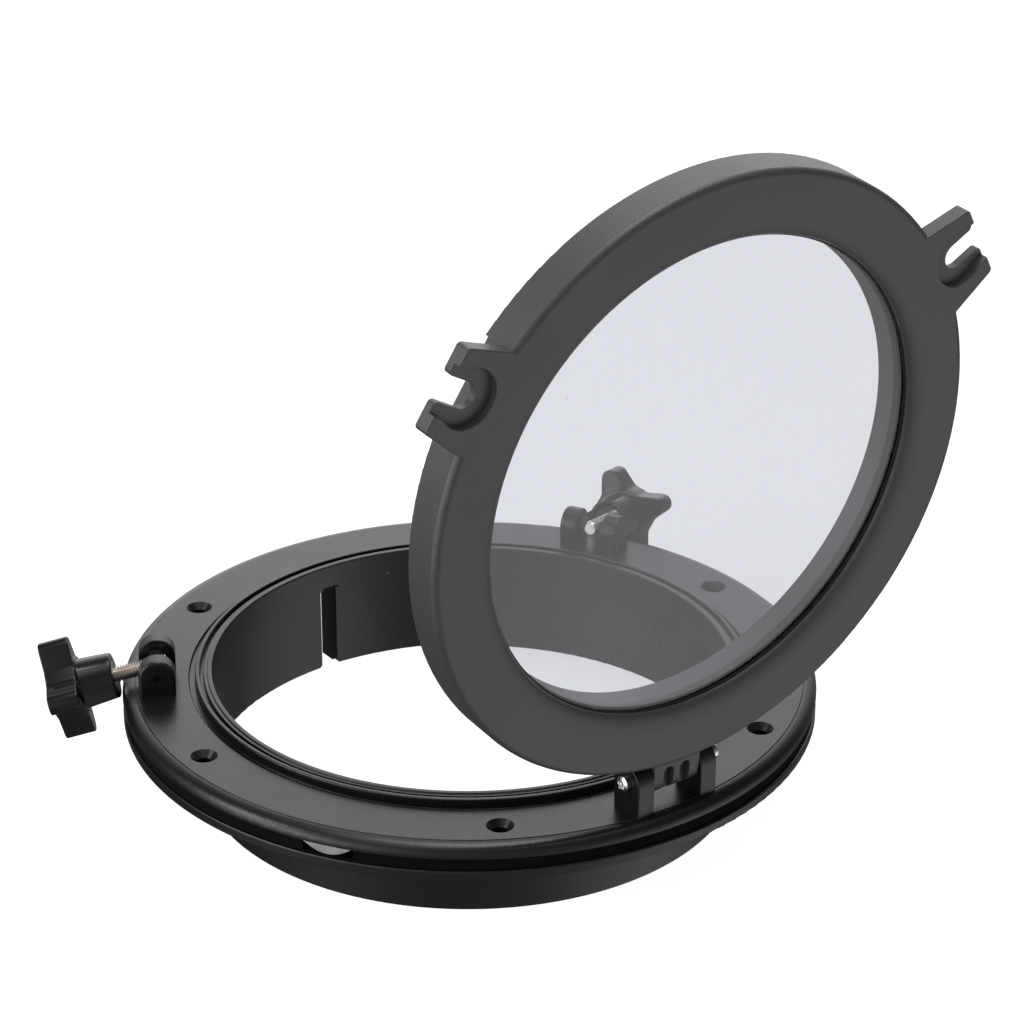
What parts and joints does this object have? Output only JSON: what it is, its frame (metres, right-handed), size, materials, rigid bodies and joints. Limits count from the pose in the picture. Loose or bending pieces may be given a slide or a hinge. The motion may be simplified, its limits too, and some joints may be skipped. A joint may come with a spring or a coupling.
{
  "type": "round opening portlight",
  "caption": "Round opening portlight: flanged frame with hull spigot, hinged glass lid with fork ears, swing bolts with star knobs and a clamp ring.",
  "frame": {"origin": "centre of the clear opening, level with the flat top of the flange", "axes": "+Z out of the flange on the knob side, the spigot pointing to -Z; the lid hinges on the -Y side; +X along the hinge pin"},
  "size_m": [0.2904, 0.2788, 0.2819],
  "materials": {
    "frame_plastic": "satin moulded black, fine grain",
    "lid_plastic": "satin moulded black, fine grain on the wall",
    "knob_plastic": "polished black",
    "foam_gasket": "closed-cell black foam",
    "seal_rubber": "smooth black rubber",
    "pad_plastic": "cloudy translucent",
    "nylon_black": "natural nylon, black",
    "clear_glass": "clear, very slightly grey",
    "stainless": "bright stainless steel"
  },
  "bodies": {
    "frame": {"base_frame": "frame_plastic", "hull_gasket": "foam_gasket", "bedding_pad": "pad_plastic", "hinge_pin": "stainless", "hinge_pin_cap": "stainless", "clevis_pin_left": "stainless", "pivot_spacers_left": "nylon_black", "clevis_pin_right": "stainless", "pivot_spacers_right": "nylon_black"},
    "clamp_ring": {"clamp_ring": "frame_plastic"},
    "lid": {"lid_frame": "lid_plastic", "lid_glass": "clear_glass", "glass_seal": "seal_rubber", "glass_retainer": "lid_plastic", "lid_seal": "seal_rubber"},
    "swing_bolt_left": {"swing_stud_left": "stainless"},
    "insert_left": {"knob_insert_left": "stainless"},
    "knob_left": {"star_knob_left": "knob_plastic"},
    "swing_bolt_right": {"swing_stud_right": "stainless"},
    "insert_right": {"knob_insert_right": "stainless"},
    "knob_right": {"star_knob_right": "knob_plastic"}
  },
  "joints": [
    {"name": "lid_hinge", "type": "hinge", "parent": "frame", "child": "lid", "pos_m": [0, -0.1182, 0.0113], "axis": [1, 0, 0], "range_deg": [-95.5, 84.5]},
    {"name": "clamp_ring_slide", "type": "slide", "parent": "frame", "child": "clamp_ring", "axis": [0, 0, -1], "range_m": [0, 0.028]},
    {"name": "bolt_swing_left", "type": "hinge", "parent": "frame", "child": "swing_bolt_left", "pos_m": [-0.10107, 0.05835, 0.0072], "axis": [0.5, 0.866, 0], "range_deg": [0, 104]},
    {"name": "knob_travel_left", "type": "slide", "parent": "swing_bolt_left", "child": "insert_left", "axis": [-0.8403, 0.4851, -0.2419], "range_m": [0, 0.006]},
    {"name": "knob_spin_left", "type": "hinge", "parent": "insert_left", "child": "knob_left", "pos_m": [-0.10107, 0.05835, 0.0072], "axis": [-0.8403, 0.4851, -0.2419], "range_deg": [0, 2160]},
    {"name": "bolt_swing_right", "type": "hinge", "parent": "frame", "child": "swing_bolt_right", "pos_m": [0.10107, 0.05835, 0.0072], "axis": [0.5, -0.866, 0], "range_deg": [0, 104]},
    {"name": "knob_travel_right", "type": "slide", "parent": "swing_bolt_right", "child": "insert_right", "axis": [0.8403, 0.4851, -0.2419], "range_m": [0, 0.006]},
    {"name": "knob_spin_right", "type": "hinge", "parent": "insert_right", "child": "knob_right", "pos_m": [0.10107, 0.05835, 0.0072], "axis": [0.8403, 0.4851, -0.2419], "range_deg": [0, 2160]}
  ],
  "couplings": [
    {"joint": "knob_spin_left", "follows": "knob_travel_left", "rad_per_m": 6283.2},
    {"joint": "knob_spin_right", "follows": "knob_travel_right", "rad_per_m": 6283.2}
  ]
}
